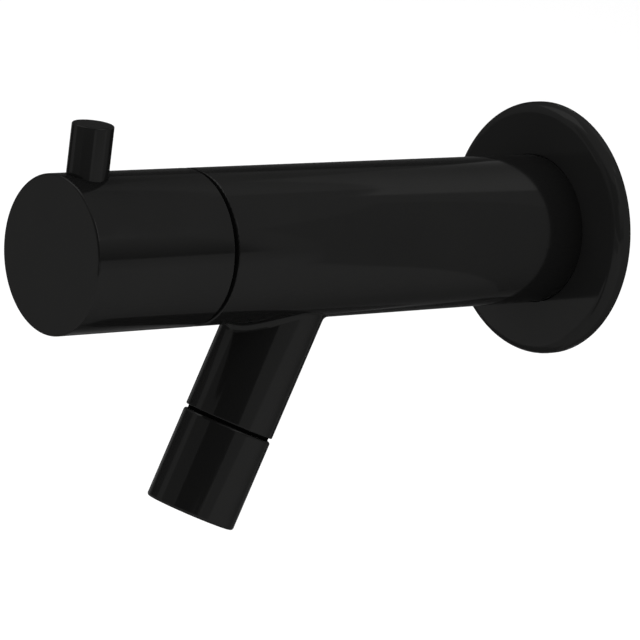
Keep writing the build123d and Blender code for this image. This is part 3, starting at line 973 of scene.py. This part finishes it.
# What the photo's tap mirrors: a dark room beside the camera, a dim one in front of the
# tap, greys round the sides and bright windows over the wall and below the rose.
DARK_ROOM = 0.02
DIM_ROOM = 0.42
FLAG_DISTANCE = 0.8
PANELS = (
    SpherePanel("flag_beside_camera", DARK_ROOM, (5.0, 74.0), (0.0, 45.0), FLAG_DISTANCE),
    SpherePanel("flag_beside_pin", 0.3, (4.5, 57.0), (-11.0, -3.0), 0.3),
    SpherePanel("flag_beside_spout", 0.68, (74.5, 119.0), (-10.0, 9.0), FLAG_DISTANCE),
    SpherePanel("flag_in_front", DIM_ROOM, (-36.0, 4.0), (-20.0, 45.0), FLAG_DISTANCE),
    SpherePanel("flag_behind", 0.14, (205.0, 254.0), (-11.0, 26.0), FLAG_DISTANCE),
    SpherePanel("flag_below_wall", 0.12, (192.0, 254.0), (-40.0, -6.0), 0.3),
    SpherePanel("flag_under_wall", 0.4, (192.0, 264.0), (-68.0, -38.0), 0.186),
    SpherePanel("flag_beside_knob", 0.1, (70.0, 125.0), (4.0, 30.0), 0.28, top_radiance=0.9),
    SpherePanel("flag_beside_rose", 0.3, (-87.0, -53.0), (-17.0, 3.0), 0.24),
    SpherePanel("lamp_below_rose", 1.6, (-87.0, -53.0), (-48.0, -18.0), 0.24),
    SpherePanel("lamp_over_wall", 1.75, (168.0, 212.0), (20.0, 46.5), 0.28),
    SpherePanel("lamp_beside_wall", 1.2, (180.0, 226.0), (30.0, 56.0), 0.3),
    WallPanel(
        "wall_card",
        0.72,
        near_side=(12.0 * MM, 45.0 * MM),
        far_side=128.0 * MM,
        height=(-42.0 * MM, 90.0 * MM),
        behind=1.0 * MM,
    ),
)


@dataclass(frozen=True)
class SoftLamp:
    """A square lamp that points at the tap: its centre, its side and its power in watts."""

    name: str
    place: tuple[float, float, float]
    size: float
    power: float

    def build(self) -> None:
        """Make the lamp and turn it towards the studio's centre."""
        data = bpy.data.lights.new(self.name, "AREA")
        data.size = self.size
        data.energy = self.power
        lamp = bpy.data.objects.new(self.name, data)
        lamp.location = self.place
        aim = Vector(STUDIO_CENTRE) - Vector(self.place)
        lamp.rotation_euler = aim.to_track_quat("-Z", "Y").to_euler()
        bpy.context.scene.collection.objects.link(lamp)


LAMPS = (
    SoftLamp("key_lamp", (-0.9, -0.5, 1.4), 1.1, 7.0),
    SoftLamp("fill_lamp", (1.2, 0.4, 1.1), 0.9, 4.0),
)


@dataclass
class Studio:
    """White surroundings, a pale floor under the tap, soft lamps and the panels."""

    floor_drop: float = 0.11
    floor_radius: float = 9.0
    floor_rings: int = 24
    floor_spokes: int = 96
    floor_shade: float = 0.72
    floor_patches: float = 1.02
    floor_patch_scale: float = 1.2
    floor_roughness: float = 0.9
    floor_glow: float = 0.34
    white: float = 1.0
    reflected_white: float = 0.85
    ambient: float = 0.8

    def build(self) -> None:
        """Make the world, the floor, the lamps and the panels."""
        bpy.context.scene.view_settings.view_transform = "Standard"
        self.build_world()
        self.build_floor()
        for lamp in LAMPS:
            lamp.build()
        for panel in PANELS:
            self.build_panel(panel)

    def build_world(self) -> None:
        """White for the camera and for reflections, a plain level for diffuse light."""
        world = bpy.data.worlds.new("studio")
        world.use_nodes = True
        bpy.context.scene.world = world
        tree = world.node_tree
        background = tree.nodes["Background"]
        background.inputs["Color"].default_value = (1.0, 1.0, 1.0, 1.0)
        path = tree.nodes.new("ShaderNodeLightPath")
        mirrored = self.either(tree, path, "Is Glossy Ray", "Is Transmission Ray")
        level = self.mixed(tree, mirrored, self.ambient, self.reflected_white)
        strength = self.mixed(tree, path.outputs["Is Camera Ray"], level, self.white)
        tree.links.new(strength, background.inputs["Strength"])

    @staticmethod
    def either(
        tree: bpy.types.NodeTree,
        path: bpy.types.Node,
        first: str,
        second: str,
    ) -> bpy.types.NodeSocket:
        """Whether a ray is of one of two kinds.

        Args:
            tree: the node tree.
            path: its Light Path node.
            first: the output of one kind.
            second: the output of the other.

        Returns:
            A socket that is 1 for both kinds and 0 for others.
        """
        larger = tree.nodes.new("ShaderNodeMath")
        larger.operation = "MAXIMUM"
        for number, name in enumerate((first, second)):
            tree.links.new(path.outputs[name], larger.inputs[number])
        return larger.outputs[0]

    @staticmethod
    def mixed(
        tree: bpy.types.NodeTree,
        factor: bpy.types.NodeSocket,
        first: bpy.types.NodeSocket | float,
        second: float,
    ) -> bpy.types.NodeSocket:
        """Choose between two levels.

        Args:
            tree: the node tree.
            factor: 0 for the first level and 1 for the second.
            first: a socket or a number.
            second: a number.

        Returns:
            The chosen level's socket.
        """
        mix = tree.nodes.new("ShaderNodeMix")
        first_input, second_input = (mix.inputs[place] for place in MIX_NUMBERS)
        tree.links.new(factor, mix.inputs["Factor"])
        if isinstance(first, float):
            first_input.default_value = first
        else:
            tree.links.new(first, first_input)
        second_input.default_value = second
        return mix.outputs[MIX_NUMBER_RESULT]

    def build_floor(self) -> None:
        """A wide pale disc below the tap: rings of points round the centre, at one height.

        It glows a little where the camera or a mirror sees it, which brings it to white
        and leaves the tap's shadow on it.
        """
        rings, spokes = self.floor_rings, self.floor_spokes
        ring = np.linspace(0.0, 1.0, rings + 1)[1:, None] ** 2 * self.floor_radius
        angle = np.arange(spokes)[None, :] / spokes * FULL_TURN
        height = CAD_BOX[0].z - self.floor_drop
        middle = STUDIO_CENTRE[1]
        across, along = ring * np.cos(angle), middle + ring * np.sin(angle)
        ring_points = np.stack([across, along, np.full_like(across, height)], axis=-1)
        points = np.concatenate([[(0.0, middle, height)], ring_points.reshape(-1, 3)])
        spoke = np.arange(spokes)
        next_spoke = (spoke + 1) % spokes
        start = 1 + np.arange(rings - 1)[:, None] * spokes
        inner, beside = start + spoke, start + next_spoke
        quads = np.stack([inner, inner + spokes, beside + spokes, beside], axis=-1).reshape(-1, 4)
        fan = np.stack([np.zeros_like(spoke), 1 + spoke, 1 + next_spoke], axis=1)
        mesh = bpy.data.meshes.new("floor")
        mesh.from_pydata(points.tolist(), [], quads.tolist() + fan.tolist())
        floor = bpy.data.objects.new("floor", mesh)
        bpy.context.scene.collection.objects.link(floor)
        floor.data.materials.append(self.floor_material())

    def floor_material(self) -> bpy.types.Material:
        """Pale matt floor with a camera and mirror glow and a faint unevenness.

        Returns:
            The floor's material.
        """
        graph = ShaderGraph("pale_floor")
        shade = self.floor_shade
        patch = graph.noise(self.floor_patch_scale, detail=2.0)
        color = graph.between(patch, (shade,) * 3, (shade * self.floor_patches,) * 3)
        graph.feed(color, "Base Color")
        graph.put(Roughness=self.floor_roughness, Emission_Color=(1.0, 1.0, 1.0, 1.0))
        path = graph.tree.nodes.new("ShaderNodeLightPath")
        seen = self.either(graph.tree, path, "Is Camera Ray", "Is Glossy Ray")
        graph.feed(self.mixed(graph.tree, seen, 0.0, self.floor_glow), "Emission Strength")
        return graph.material

    def build_panel(self, panel: Panel) -> None:
        """A panel's surface between its grid of points, seen only by mirrors.

        Args:
            panel: the panel and its brightness.
        """
        points = panel.points()
        step = np.arange(PANEL_POINTS - 1)
        corner = step[:, None] * PANEL_POINTS + step[None, :]
        above = corner + PANEL_POINTS
        faces = np.stack([corner, above, above + 1, corner + 1], axis=-1)
        mesh = bpy.data.meshes.new(panel.name)
        mesh.from_pydata(points.reshape(-1, 3).tolist(), [], faces.reshape(-1, 4).tolist())
        card = bpy.data.objects.new(panel.name, mesh)
        bpy.context.scene.collection.objects.link(card)
        height = points[..., 2]
        card.data.materials.append(self.panel_material(panel, height.min(), height.max()))
        card.visible_camera = False
        card.visible_diffuse = False
        card.visible_shadow = False

    @staticmethod
    def panel_material(panel: Panel, bottom: float, top: float) -> bpy.types.Material:
        """A black surface that glows, evenly or fading from its lower to its upper edge.

        Args:
            panel: the panel.
            bottom: height of its lower edge.
            top: height of its upper edge.

        Returns:
            The material.
        """
        graph = ShaderGraph(panel.name)
        graph.put(
            Base_Color=(0.0, 0.0, 0.0, 1.0),
            Specular_IOR_Level=0.0,
            Emission_Color=(1.0, 1.0, 1.0, 1.0),
            Emission_Strength=panel.radiance,
        )
        if panel.top_radiance is not None:
            height = graph.tree.nodes.new("ShaderNodeSeparateXYZ")
            graph.tree.links.new(graph.place, height.inputs["Vector"])
            levels = (panel.radiance, panel.top_radiance)
            graph.feed(graph.ramp(height.outputs["Z"], (bottom, top), levels), "Emission Strength")
        return graph.material


def main() -> None:
    """Dress the tap, build its threads and pressed ring and set up the studio."""
    logging.basicConfig(level=logging.INFO, format="%(name)s: %(message)s")
    finish = TapFinish()
    finish.prepare()
    finish.dress()
    for maker in (InletNipple(), PressedRing(), *SCREWS):
        piece = maker.build(finish)
        LOG.info("%s: %d faces", piece.name, len(piece.data.polygons))
    Studio().build()
    StudioCamera().build()
    LOG.info("studio and camera")


if __name__ == "__main__":
    main()
